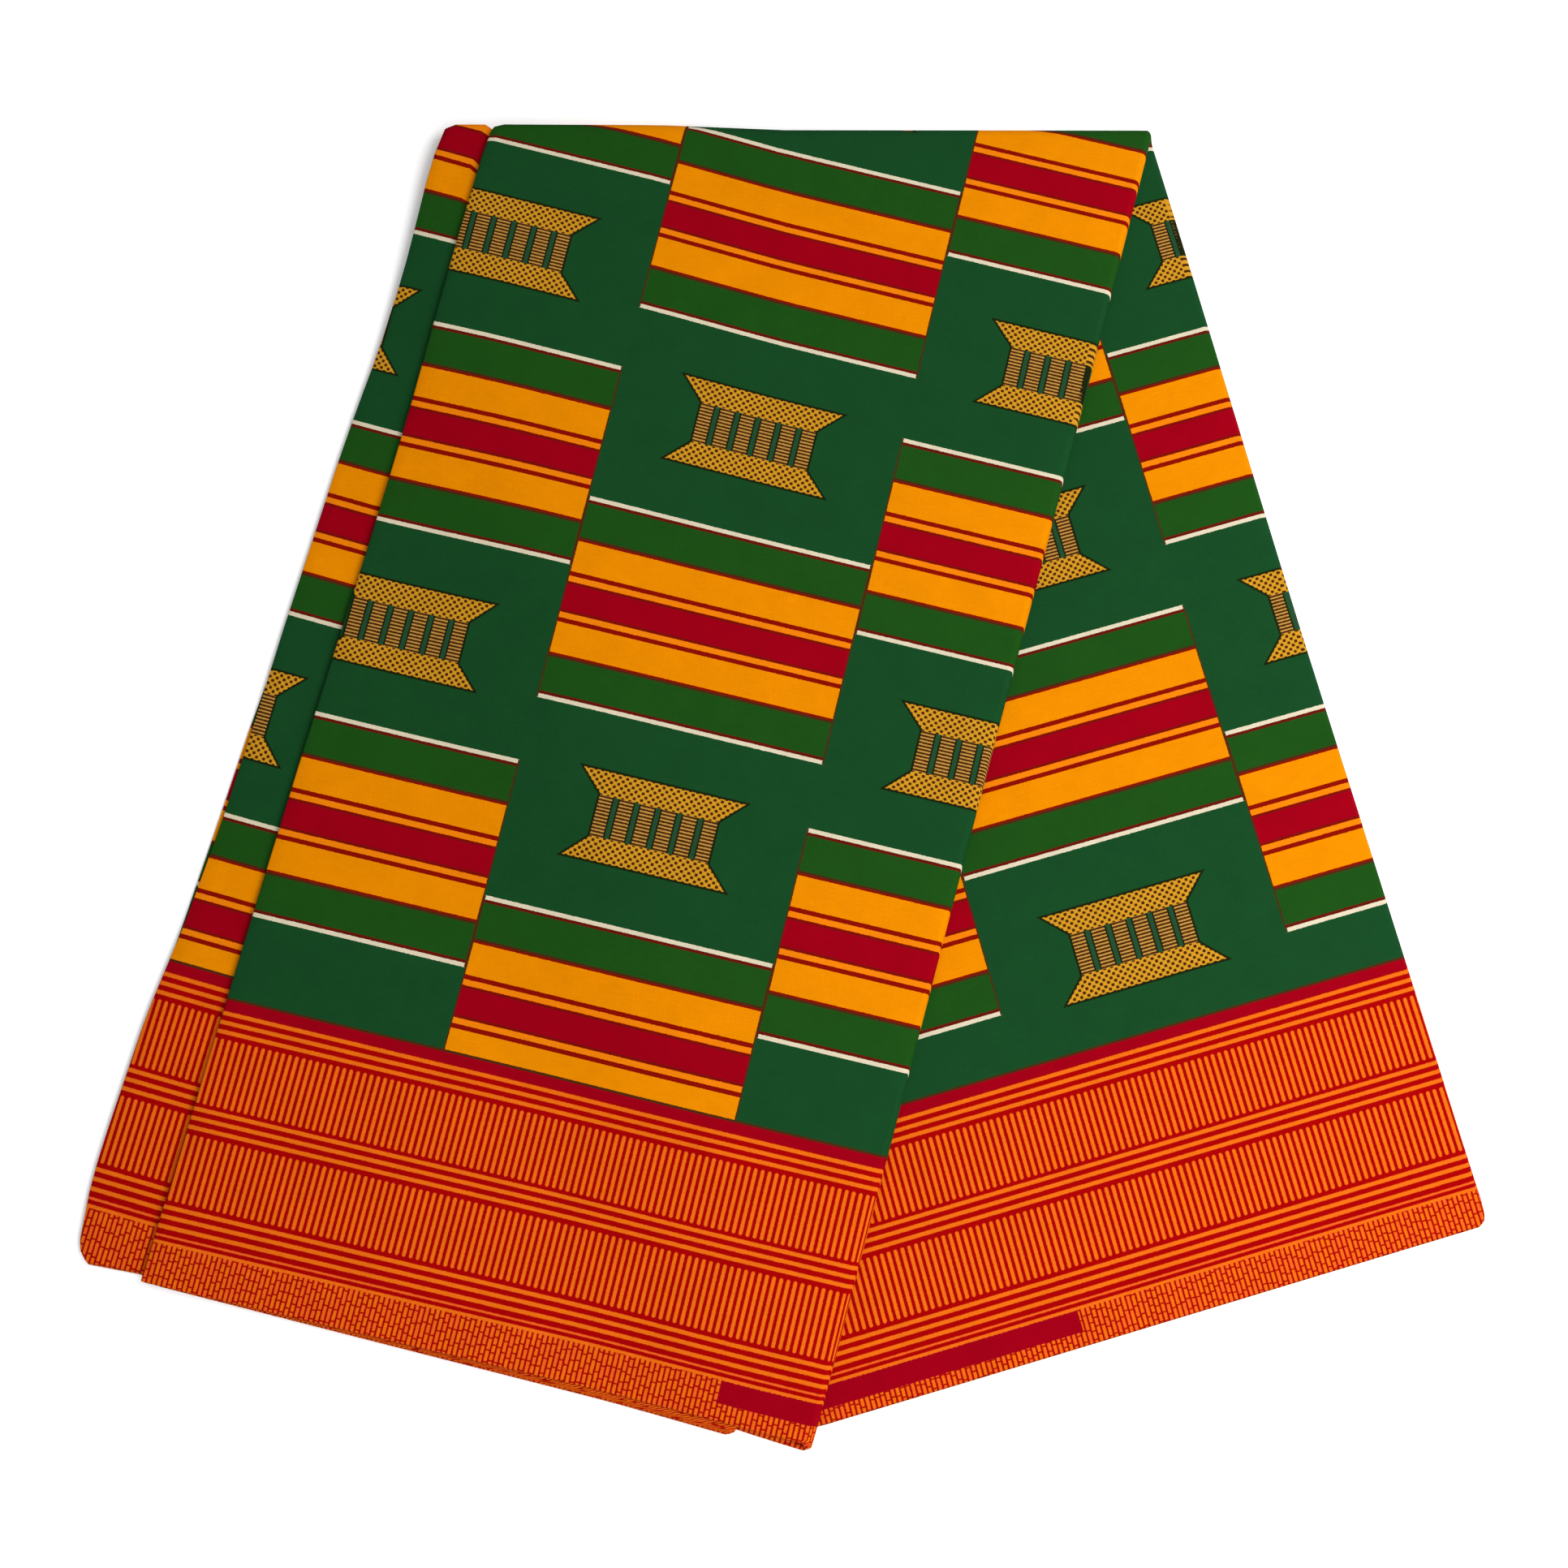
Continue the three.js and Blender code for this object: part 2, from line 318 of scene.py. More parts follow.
class ClothStageSettings(bpy.types.PropertyGroup):
    camera_height: length("Camera height", "Height of the camera above the surface", 0.693)
    camera_tilt: FloatProperty(
        name="Camera tilt", description="Camera's tilt from straight down", default=0.1272, subtype="ANGLE"
    )
    lens: FloatProperty(
        name="Lens", description="Focal length on a 36 mm sensor", default=34.66, unit="CAMERA"
    )
    key_power: FloatProperty(
        name="Key light", description="Power of the key light", default=8.4, unit="POWER"
    )
    fill_power: FloatProperty(
        name="Fill light", description="Power of the fill light", default=11.4, unit="POWER"
    )
    sky: FloatProperty(name="Surround", description="Strength of the even light all round", default=0.62)


# The folded sheet.
Place = namedtuple("Place", "s h ply other share walked")


class FoldedSheet:
    """Works out the sheet's places in the strip, in space and on the print."""

    def __init__(self, settings):
        self.strip = settings.strip_width / MM
        self.roll = settings.edge_roll / MM
        self.thickness = settings.thickness / MM
        self.unevenness = settings.unevenness
        self.pitch = (STACK - self.thickness) / (PLIES - 1)
        self.outer_centre = self.strip - self.roll
        step = self.outer_centre / STEPS_ACROSS
        self.shared_places = [EDGE_PLACE, *(step * (i + 1) for i in range(STEPS_ACROSS - 1))]

    def height(self, ply):
        return STACK - self.thickness / 2 - (ply - 1) * self.pitch

    def front_length(self, ply, s):
        """From the middle of the cross fold, round its bend, to a ply's front selvedge."""
        reach = next(row for row in SELVEDGE_REACHES if ply <= row.last_ply)
        bend = (BEND_RADIUS + self.height(ply)) * math.pi / 2
        fan = ((ply - 1) % PLIES_A_LAYER) * PLY_STEP * math.sin(ply * PLY_FAN)
        plain = reach.left + reach.gain * s
        if ply in INNER_PLIES and s < 0:
            plain -= OVERHANG_SHORTER * clamp01(-s / OVERHANG_RISE_START) + OVERHANG_GAIN * s
        return plain + bend / math.cos(FRONT_LEAN) + fan

    def left_turn(self, ply, slips):
        """Centre and half width of a ply's left fold, or of its free end."""
        if ply in UPPER_PLIES:
            return LEFT_ROLL - slips.first, LEFT_ROLL * from_centre(ply, UPPER_PLIES)
        if ply in THIRD_PLIES:
            return -slips.third + THIRD_ROLL, THIRD_ROLL * from_centre(ply, THIRD_PLIES)
        return -slips.fourth + FOURTH_ROLL, FOURTH_ROLL

    def right_turn(self, ply, slips):
        """Centre and half width of a ply's right fold."""
        half_width = self.roll * from_centre(ply, ALL_PLIES)
        if ply in INNER_PLIES:
            widest = self.roll * from_centre(INNER_PLIES[0], ALL_PLIES)
            return self.strip - slips.inner - widest, half_width
        return self.outer_centre - slips.outer, half_width

    def places_across(self, ply, slips):
        """Where a ply has its mesh steps, from its left fold to its right one."""
        left = self.left_turn(ply, slips)[0]
        right = self.right_turn(ply, slips)[0]
        places = [left]
        if ply not in UPPER_PLIES:
            places += [left * (1 - (i + 1) / OVERHANG_STEPS) for i in range(OVERHANG_STEPS)]
        if ply in INNER_PLIES:
            shared = self.shared_places[:-INNER_PLACES_DROPPED]
            places += shared
            places += [lerp(shared[-1], right, (i + 1) / (INNER_STEPS + 1)) for i in range(INNER_STEPS)]
        else:
            places += self.shared_places
        return places + [right]

    def section(self, along, inset=0.0):
        """The sheet's middle line across the strip at one place, its right folds drawn in by an inset."""
        at = [row.along for row in SIDE_SLIPS]
        slips = SideSlip(*(from_rows(at, column, along) for column in zip(*SIDE_SLIPS)))
        slips = slips._replace(inner=slips.inner + inset, outer=slips.outer + inset)
        line = []
        for order, ply in enumerate(PATH):
            rightwards = order % 2 == 0
            places = self.places_across(ply, slips)
            if not rightwards:
                places.reverse()
            line += [(s, self.height(ply), ply, ply, 0.0) for s in places]
            if order + 1 == PLIES:
                break
            other = PATH[order + 1]
            centre, half_width = (self.right_turn if rightwards else self.left_turn)(ply, slips)
            steps = OUTER_TURN_STEPS if {ply, other} == {TOP_PLY, LAST_PLY} else TURN_STEPS
            for i in range(1, steps):
                share = (1 - math.cos(math.pi * i / steps)) / 2
                side = math.sin(math.pi * i / steps) * half_width * (1 if rightwards else -1)
                height = lerp(self.height(ply), self.height(other), share)
                line.append((centre + side, height, ply, other, share))
        walked = [0.0]
        for a, b in zip(line, line[1:]):
            walked.append(walked[-1] + math.hypot(b[0] - a[0], b[1] - a[1]))
        return [Place(*point, distance) for point, distance in zip(line, walked)]

    def faces(self, line):
        """Both faces of the sheet, half its thickness to each side of the middle line."""
        pairs = []
        for i, point in enumerate(line):
            before = line[max(i - 1, 0)]
            after = line[min(i + 1, len(line) - 1)]
            run, rise = after.s - before.s, after.h - before.h
            half = self.thickness / 2 / math.hypot(run, rise)
            pair = [point._replace(s=point.s - k * rise, h=point.h + k * run) for k in (half, -half)]
            pairs.append(pair)
        return pairs

    def swell(self, x, y):
        """The stack is a little higher in some places than in others."""
        wave = math.sin(x / SWELL.short_x + y / SWELL.long_y)
        return self.unevenness * wave * math.cos(y / SWELL.short_y - x / SWELL.long_x)

    def on_front_leg(self, s, h, y):
        radius = BEND_RADIUS + h
        x = s / math.cos(LEAN) + (y - math.pi * radius / 2) * math.tan(FRONT_LEAN)
        across_back_leg = (x + y * math.tan(BACK_LEAN)) * math.cos(LEAN)
        ease = smooth(-y / SLOPE_EASE)
        down = smooth((-SLOPE_START - across_back_leg) / SLOPE_WIDTH) * ease
        return x, y, (STACK + LEG_GAP) * (1 - down) + h * (1 + self.swell(x, y) * ease)

    def on_bend(self, s, h, angle):
        radius = BEND_RADIUS + h
        past = (angle - math.pi / 2) * radius
        x = s / math.cos(LEAN) + past * math.tan(FRONT_LEAN if past < 0 else BACK_LEAN)
        return x, radius * math.sin(angle), BEND_HEIGHT + radius * math.cos(angle)

    def on_back_leg(self, s, h, y):
        radius = BEND_RADIUS + h
        x = s / math.cos(LEAN) + (math.pi * radius / 2 - y) * math.tan(BACK_LEAN)
        ease = smooth(-y / SLOPE_EASE)
        down = STACK / 2 * smooth((-LEFT_ROLL - s) / OVERHANG_SLOPE) * ease
        return x, y, (STACK - h) * (1 + self.swell(x, y) * ease) - min(down, (STACK - h) * FLATTEST)

    def place(self, point, station):
        """A point's place in space, and how far down its leg that is."""
        s, h = point.s, point.h
        front = lerp(self.front_length(point.ply, s), self.front_length(point.other, s), point.share)
        radius = BEND_RADIUS + h
        quarter = radius * math.pi / 2
        if station < FRONT_STEPS:
            down = lerp(*FRONT_SHARED, s / self.strip) * (1 - self.along(station))
            y = -down * math.cos(FRONT_LEAN)
            if station < len(END_STEPS):
                y = quarter - (front - END_STEPS[station]) * math.cos(FRONT_LEAN)
            return self.on_front_leg(s, h, y), y
        if station <= FRONT_STEPS + BEND_STEPS:
            angle = math.pi * (station - FRONT_STEPS) / BEND_STEPS
            return self.on_bend(s, h, angle), 0.0
        down = lerp(*BACK_SHARED, s / self.strip) * (self.along(station) - 1)
        y = -down * math.cos(BACK_LEAN)
        if STATIONS - station < len(END_STEPS):
            y = quarter - (CLOTH_WIDTH - front - END_STEPS[STATIONS - station]) * math.cos(BACK_LEAN)
        return self.on_back_leg(s, h, y), y

    def past_fold(self, ply, station, y):
        """How far along the strip a ply is past the cross fold's middle, below 0 on the front leg."""
        radius = BEND_RADIUS + self.height(ply)
        quarter = radius * math.pi / 2
        if station < FRONT_STEPS:
            return (y - quarter) / math.cos(FRONT_LEAN)
        if station <= FRONT_STEPS + BEND_STEPS:
            return (math.pi * (station - FRONT_STEPS) / BEND_STEPS - math.pi / 2) * radius / math.cos(LEAN)
        return (quarter - y) / math.cos(BACK_LEAN)

    def risen(self, where, s, inside):
        """A place moved with the cross fold, which is not quite straight and has a rounded left end."""
        x, y, z = where
        rise = from_rows(FOLD_RISE_PLACES, FOLD_RISES, x) * smooth(1 + y / FOLD_RISE_FADE)
        rise += OVERHANG_RISE * clamp01(-s / OVERHANG_RISE_START) * smooth(1 + y / OVERHANG_RISE_FADE)
        past = FOLD_CORNER - min(max(inside, 0.0), FOLD_CORNER)
        corner = FOLD_CORNER - math.sqrt(FOLD_CORNER**2 - past**2)
        return x, y + rise - corner * smooth(1 + y / (2 * FOLD_CORNER)), z

    def print_on_ply(self, ply, s, station, y):
        """The print's v on one ply, and how far its u has moved there."""
        front = self.front_length(ply, s)
        past_fold = self.past_fold(ply, station, y)
        on_front = past_fold < 0
        leg = front if on_front else CLOTH_WIDTH - front
        down = abs(past_fold) / leg
        edge = -FRONT_EDGE if on_front else BACK_EDGE
        if ply in LEFT_PLIES and on_front:
            v = from_rows(LEFT_PLACES, LEFT_PRINTS, -past_fold - LEFT_SKEW * (s - LEFT_MIDDLE))
            return v, 0.0
        if ply in LEFT_PLIES:
            fold = LEFT_PRINTS[0] + LEFT_SKEW * (s - LEFT_MIDDLE)
            return lerp(fold, edge, down), 0.0
        fold = FOLD_PRINTS.get(ply, FOLD_PRINTS[TOP_PLY]) + PRINT_SKEW * (s - self.strip / 2)
        bow = lerp(*BOW_FOLD, s / self.strip) if ply == TOP_PLY else 0.0
        if ply == TOP_PLY and on_front:
            v = lerp(fold + bow, BOW_SELVEDGE, down) + 4 * BOW_MIDDLE * down * (1 - down)
        else:
            v = lerp(fold, edge, down) + bow * (1 - smooth(abs(past_fold) / BOW_FADE))
        return v, FOLD_DRIFTS.get(ply, 0.0) * (1 - down if on_front else 1)

    def print_along(self, line):
        """The print's u before it moves on a ply, for each point of a section."""
        first = {ply: next(point for point in line if point.ply == ply) for ply in PATH}
        starts = {ply: start + first[ply].s + first[ply].walked for ply, start in PRINT_STARTS.items()}
        offset = starts[TOP_PLY]
        left, lower = starts[LEFT_PLY] - offset, starts[LOWER_PLY] - offset
        last = [point for point in line if point.ply == LAST_PLY and not point.share][-1]
        under = PRINT_UNDERNEATH - last.s + last.walked - offset
        places = [last.walked, first[TOP_PLY].walked, *(first[ply].walked for ply in PRINT_STEPS)]
        moves = (under, 0, 0, left, left, lower)
        return [offset - point.walked + from_rows(places, moves, point.walked) for point in line]

    def along(self, station):
        """0 where the front leg's shared steps start, 1 over the cross fold, 2 where the back leg's end."""
        ends = len(END_STEPS)
        if station < FRONT_STEPS:
            return max(0, station - ends) / (FRONT_STEPS - ends)
        return 1 + min(1.0, max(0, station - FRONT_STEPS - BEND_STEPS) / (BACK_STEPS - ends))

    def section_at(self, station):
        """The sheet's middle line at a station. Close to a selvedge it is drawn in for a round corner."""
        ends = len(END_STEPS)
        from_end = min(station, STATIONS - station)
        past = max(0.0, CORNER_RADIUS - END_STEPS[from_end]) if from_end < ends else 0.0
        inset = CORNER_RADIUS - math.sqrt(CORNER_RADIUS**2 - past**2)
        if station < ends:
            return self.section(END_STEPS[station] / SLIP_LENGTH, inset)
        if station < FRONT_STEPS:
            return self.section(1 - FRONT_SHARED[0] * (1 - self.along(station)) / SLIP_LENGTH, inset)
        return self.section(self.along(station), inset)

    def mesh_data(self):
        """Vertices, print places and quads of the whole sheet, closed at its ends and selvedges."""
        vertices, prints = [], []
        for station in range(STATIONS + 1):
            line = self.section_at(station)
            along_print = self.print_along(line)
            left = {ply: min(p.s for p in line if ply in (p.ply, p.other)) for ply in PATH}
            for pair, u in zip(self.faces(line), along_print):
                for point in pair:
                    where, y = self.place(point, station)
                    vertices.append(self.risen(where, point.s, point.s - left[point.ply]))
                    v, moved = self.print_on_ply(point.ply, point.s, station, y)
                    if point.share:
                        # A turn's print follows the ply that shows, and the rest is made up out of sight.
                        other_v, other_moved = self.print_on_ply(point.other, point.s, station, y)
                        on_top = point.other == TOP_PLY and station < FRONT_STEPS + BEND_STEPS / 2
                        share = 1 - (1 - point.share) ** 3 if on_top else point.share**3
                        v, moved = lerp(v, other_v, share), lerp(moved, other_moved, share)
                    prints.append((u + moved, v))
        columns = len(line)
        quads = []

        def quad(*corners):
            quads.append(tuple((station * columns + column) * 2 + side for station, column, side in corners))

        end = columns - 1
        for a in range(STATIONS):
            b = a + 1
            for column in range(end):
                c = column + 1
                quad((a, column, 0), (a, c, 0), (b, c, 0), (b, column, 0))
                quad((a, c, 1), (a, column, 1), (b, column, 1), (b, c, 1))
            quad((a, 0, 1), (a, 0, 0), (b, 0, 0), (b, 0, 1))
            quad((a, end, 0), (a, end, 1), (b, end, 1), (b, end, 0))
        for column in range(end):
            c = column + 1
            quad((0, column, 1), (0, c, 1), (0, c, 0), (0, column, 0))
            quad((STATIONS, column, 0), (STATIONS, c, 0), (STATIONS, c, 1), (STATIONS, column, 1))
        return vertices, prints, quads


def on_frame(vertices):
    """Vertices of the layout in metres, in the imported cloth's frame."""
    low, high = CLOTH_BOX
    shift = [(low[axis] + high[axis]) / 2 - LAYOUT_MIDDLE[axis] * MM for axis in (0, 1)]
    return [(v[0] * MM + shift[0], v[1] * MM + shift[1], v[2] * MM + low[2]) for v in vertices]


def new_object(name, data):
    made = bpy.data.objects.new(name, data)
    bpy.context.scene.collection.objects.link(made)
    return made


def plain_material(name, shade, roughness):
    """A material of one plain colour, for the finest threads and the floor."""
    material = bpy.data.materials.new(name)
    material.use_nodes = True
    shader = material.node_tree.nodes["Principled BSDF"]
    shader.inputs["Base Color"].default_value = (*shade, 1)
    shader.inputs["Roughness"].default_value = roughness
    return material


# Shader arithmetic.
class Signal:
    """A value in a shader tree. Arithmetic on it adds Math nodes to the tree."""

    def __init__(self, tree, socket):
        self.tree = tree
        self.socket = socket

    def math(self, operation, *others, clamp=False):
        node = self.tree.nodes.new("ShaderNodeMath")
        node.operation = operation
        node.use_clamp = clamp
        for slot, value in zip(node.inputs, (self, *others)):
            feed(self.tree, slot, value)
        return Signal(self.tree, node.outputs[0])

    def __add__(self, other):
        return self.math("ADD", other)

    def __sub__(self, other):
        return self.math("SUBTRACT", other)

    def __mul__(self, other):
        return self.math("MULTIPLY", other)

    def __truediv__(self, other):
        return self.math("DIVIDE", other)

    def __abs__(self):
        return self.math("ABSOLUTE")

    def floor(self):
        return self.math("FLOOR")

    def lowest(self, other):
        return self.math("MINIMUM", other)

    def highest(self, other):
        return self.math("MAXIMUM", other)

    def within(self, period):
        """Remainder after whole periods, from 0 up to the period."""
        return self.math("FLOORED_MODULO", period)

    def from_middle(self, period):
        """Signed distance from the nearest multiple of the period."""
        return (self + period / 2).within(period) - period / 2

    def below(self, limit, soft=0.25):
        """1 where the value is below a limit, 0 above it, with a soft edge."""
        return self.math("MULTIPLY_ADD", -1 / soft, limit / soft + 0.5, clamp=True)

    def above(self, limit, soft=0.25):
        return self.math("MULTIPLY_ADD", 1 / soft, 0.5 - limit / soft, clamp=True)

    def wave(self, period):
        return (self * (2 * math.pi / period)).math("COSINE")


def feed(tree, slot, value):
    """Links a signal or socket to an input, or sets the input's own value."""
    if isinstance(value, Signal):
        value = value.socket
    if isinstance(value, bpy.types.NodeSocket):
        tree.links.new(value, slot)
    elif isinstance(value, (tuple, list)):
        slot.default_value = (*value, 1.0)[: len(slot.default_value)]
    else:
        slot.default_value = value


MIX_LOW, MIX_HIGH, MIX_COLOUR = 6, 7, 2  # a Mix node's two colour inputs and its colour output


def mixed(tree, mask, low, high, blend="MIX"):
    """Colour that is low where the mask is 0 and high, or high laid over low, where it is 1."""
    node = tree.nodes.new("ShaderNodeMix")
    node.data_type = "RGBA"
    node.blend_type = blend
    feed(tree, node.inputs["Factor"], mask)
    feed(tree, node.inputs[MIX_LOW], low)
    feed(tree, node.inputs[MIX_HIGH], high)
    return node.outputs[MIX_COLOUR]


def joined(tree, x, y, z=0.0):
    node = tree.nodes.new("ShaderNodeCombineXYZ")
    for slot, value in zip(node.inputs, (x, y, z)):
        feed(tree, slot, value)
    return node.outputs[0]


def noise(tree, vector, scale, detail=2.0, roughness=0.5):
    node = tree.nodes.new("ShaderNodeTexNoise")
    feed(tree, node.inputs["Vector"], vector)
    node.inputs["Scale"].default_value = scale
    node.inputs["Detail"].default_value = detail
    node.inputs["Roughness"].default_value = roughness
    return Signal(tree, node.outputs["Fac"])


def random_of(tree, *parts):
    """A random value from 0 to 1 for each whole number or pair of whole numbers."""
    node = tree.nodes.new("ShaderNodeTexWhiteNoise")
    node.noise_dimensions = "2D"
    feed(tree, node.inputs["Vector"], joined(tree, *parts))
    return Signal(tree, node.outputs["Value"])


def stripes(tree, distance, reach, rows):
    """A ramp of plain colours over a distance: each row is where it starts and its colour."""
    node = tree.nodes.new("ShaderNodeValToRGB")
    ramp = node.color_ramp
    ramp.interpolation = "CONSTANT"
    while len(ramp.elements) < len(rows):
        ramp.elements.new(1.0)
    for element, (start, shade) in zip(ramp.elements, rows):
        element.position = start / reach
        element.color = (*shade, 1.0)
    feed(tree, node.inputs["Fac"], distance / reach)
    return node.outputs["Color"]


def new_group(name, inputs, outputs):
    """A shader node group, with its tree, its inputs as signals and its output node."""
    tree = bpy.data.node_groups.new(name, "ShaderNodeTree")
    for title in inputs:
        tree.interface.new_socket(name=title, in_out="INPUT", socket_type="NodeSocketFloat")
    for title, kind in outputs:
        tree.interface.new_socket(name=title, in_out="OUTPUT", socket_type=kind)
    given = tree.nodes.new("NodeGroupInput")
    result = tree.nodes.new("NodeGroupOutput")
    return tree, [Signal(tree, given.outputs[title]) for title in inputs], result


# The print, in millimetres on the cloth.
BLOCK_CENTRE = 392.1  # a block's middle in the even columns, from the front selvedge
COLUMN_SHIFT = -62.55  # and the same in the odd columns, from there

# Half of a block: how far from its middle each stripe ends.
BLOCK_STRIPES = (
    ("crimson", 5.95),
    ("dark_red", 6.5),
    ("red", 7.2),
    ("thin_yellow", 9.8),
    ("red", 11.9),
    ("yellow", 26.1),
    ("red", 27.1),
    ("brown", 28.2),
    ("leaf", 44.4),
    ("dark_red", 45.9),
    ("white", 47.8),
)
BLOCK_HALF = BLOCK_STRIPES[-1][1]
BLOCK_REACH = 60.0  # the ground is plain from a block's end up to here
BLOCK_END = 0.7  # dark edge of a block along its column's two sides
MOTIF_FIRST = 145.0  # no motif lies closer to the front selvedge, or past the last one
MOTIF_LAST = 1012.0


def block_group(ink):
    """Colour of a striped block at a distance from its middle line."""
    tree, (distance,), result = new_group("Striped block", ["Distance"], [("Color", "NodeSocketColor")])
    names, ends = zip(*BLOCK_STRIPES)
    rows = [(start, ink(name)) for start, name in zip((0.0, *ends), (*names, "ground"))]
    feed(tree, result.inputs["Color"], stripes(tree, distance, BLOCK_REACH, rows))
    return tree


# The motif: two dotted bands with pointed ears, joined by striped columns.
MOTIF_HALF_HEIGHT = 21.2
MOTIF_BAND_START = 9.5
MOTIF_WAIST = 28.5
MOTIF_EAR_SPREAD = 1.0  # growth of its half width for each millimetre past the waist
MOTIF_LINE = 1.0
MOTIF_EAR_LINE = 1.4  # the same line on an ear's slanting side, measured across
MOTIF_BAR_PITCH = 9.85
MOTIF_BARS_HALF = MOTIF_BAR_PITCH * 2.5  # the bars lie within this distance of the middle
MOTIF_BAR = 1.0
MOTIF_BAR_LINE = 1.75
MOTIF_THREAD_PITCH = 1.6
MOTIF_THREAD_SIZE = 0.15
MOTIF_THREAD_EDGE = 0.6
MOTIF_DOT_ACROSS = 3.4
MOTIF_DOT_DOWN = 3.15
MOTIF_DOT_SIZE = 0.2
FINE_EDGE = 0.35  # softness of a fine mark's edge


def motif_group(ink):
    """The motif's colour, and a mask of where it lies, from its own middle."""
    tree, (x, y), result = new_group(
        "Gold column motif", ["X", "Y"], [("Color", "NodeSocketColor"), ("Mask", "NodeSocketFloat")]
    )
    side, level = abs(x), abs(y)
    half_width = (level - MOTIF_BAND_START).highest(0.0) * MOTIF_EAR_SPREAD + MOTIF_WAIST
    inward = half_width - side
    mask = inward.above(0.0) * level.below(MOTIF_HALF_HEIGHT)
    line = level.above(MOTIF_BAND_START) * (MOTIF_EAR_LINE - MOTIF_LINE) + MOTIF_LINE
    fill = (inward - line).above(0.0) * level.below(MOTIF_HALF_HEIGHT - MOTIF_LINE)
    dots = (x.wave(MOTIF_DOT_ACROSS) * y.wave(MOTIF_DOT_DOWN)).above(MOTIF_DOT_SIZE, FINE_EDGE)
    band = mixed(tree, dots, ink("gold"), ink("dot"))
    thread = y.wave(MOTIF_THREAD_PITCH).above(MOTIF_THREAD_SIZE, MOTIF_THREAD_EDGE)
    column = mixed(tree, thread, ink("dot"), ink("pale_gold"))
    from_bar = abs(x.from_middle(MOTIF_BAR_PITCH))
    in_bars = side.below(MOTIF_BARS_HALF)
    lined = mixed(tree, from_bar.below(MOTIF_BAR_LINE) * in_bars, column, ink("outline"))
    barred = mixed(tree, from_bar.below(MOTIF_BAR) * in_bars, lined, ink("bar"))
    body = mixed(tree, level.above(MOTIF_BAND_START - 0.1), barred, band)
    feed(tree, result.inputs["Color"], mixed(tree, fill, ink("outline"), body))
    feed(tree, result.inputs["Mask"], mask)
    return tree


# The border, as distances from the selvedge.
LINE_HALF = 0.85
BORDER_LINES = (115.5, 111.55, 107.6, 73.3, 69.35, 65.35, 30.7, 26.75, 22.7)
THIN_LINE = (19.0, 0.45)
COMB_LINE = (16.2, 0.65)
DASH_ROWS = (90.2, 47.9)  # middles of the two rows of dashes
DASH_HALF_LENGTH = 14.4
DASH_HALF_WIDTH = 0.78
TICK_TOP = 16.2
TICK_HALF_WIDTH = 0.68
TICK_JOINT = 0.32
TICK_PIECE = 3.2  # shortest piece of a tick, and how much longer the longest one is
TICK_PIECE_SPREAD = 3.5
LENGTH_SEED, LEVEL_SEED, TINT_SEED = 3.0, 8.0, 31.0
TINT_ALONG, TINT_ACROSS = 0.35, 0.12  # the salmon tint's unevenness, for each millimetre
BARE_BANDS = ((290.6, 455.0), (543.9, 709.0))  # a plain stretch along the front and the back selvedge
BARE_FOOT = 6.0
BARE_TOP = 15.4
BORDER_MARGIN = 0.4  # red past the outermost line
FIELD_LINE = 1.1  # dark line between the border and the ground


def border_group(ink, settings):
    """The printed border's colour along one selvedge."""
    tree, (u, edge, back), result = new_group(
        "Printed border", ["Along", "From selvedge", "Back"], [("Color", "NodeSocketColor")]
    )
    dash_pitch = settings.dash_pitch / MM
    tick_pitch = settings.tick_pitch / MM
    tint = noise(tree, joined(tree, u * TINT_ALONG, edge * TINT_ACROSS), 1.0).above(0.55, 0.3)
    orange = mixed(tree, tint * 0.7, ink("border_orange"), ink("border_salmon"))
    lines = None
    for middle in BORDER_LINES:
        line = abs(edge - middle).below(LINE_HALF, FINE_EDGE)
        lines = line if lines is None else lines.highest(line)
    across = abs(u.from_middle(dash_pitch))
    for middle in DASH_ROWS:
        past = (abs(edge - middle) - (DASH_HALF_LENGTH - DASH_HALF_WIDTH)).highest(0.0)
        reach = (across * across + past * past).math("SQRT")
        lines = lines.highest(reach.below(DASH_HALF_WIDTH, FINE_EDGE))
    marks = mixed(tree, lines, ink("border_red"), ink("border_orange"))
    marks = mixed(tree, lines * tint * 0.35, marks, ink("border_salmon"))
    thin = abs(edge - THIN_LINE[0]).below(THIN_LINE[1], FINE_EDGE)
    marks = mixed(tree, thin, marks, ink("border_salmon"))
    # Ticks hang from a thin line, and each is cut at uneven places into two to four pieces.
    number = (u / tick_pitch).floor()
    piece_length = random_of(tree, number, LENGTH_SEED) * TICK_PIECE_SPREAD + TICK_PIECE
    level = edge + random_of(tree, number, LEVEL_SEED) * piece_length
    piece = (level / piece_length).floor()
    joint = abs(level - piece * piece_length - piece_length / 2)
    joint = (piece_length / 2 - joint).above(TICK_JOINT, 0.3)
    tick = abs(u.within(tick_pitch) - tick_pitch / 2).below(TICK_HALF_WIDTH, FINE_EDGE) * joint
    tick_tint = random_of(tree, number, piece + TINT_SEED).above(0.5, 0.5)
    tick_colour = mixed(tree, tick_tint * 0.8, ink("border_orange"), ink("border_salmon"))
    ticks = mixed(tree, tick, ink("border_red"), tick_colour)
    marks = mixed(tree, edge.below(TICK_TOP, 0.2), marks, ticks)
    comb = abs(edge - COMB_LINE[0]).below(COMB_LINE[1], 0.3)
    marks = mixed(tree, comb, marks, orange)
    # A bare crimson band interrupts the ticks on each selvedge.
    front_band, back_band = (u.above(start) * u.below(end) for start, end in BARE_BANDS)
    bare = front_band * (back * -1 + 1.0) + back_band * back
    bare = bare * edge.below(BARE_TOP) * edge.above(BARE_FOOT)
    marks = mixed(tree, bare, marks, ink("crimson"))
    feed(tree, result.inputs["Color"], marks)
    return tree


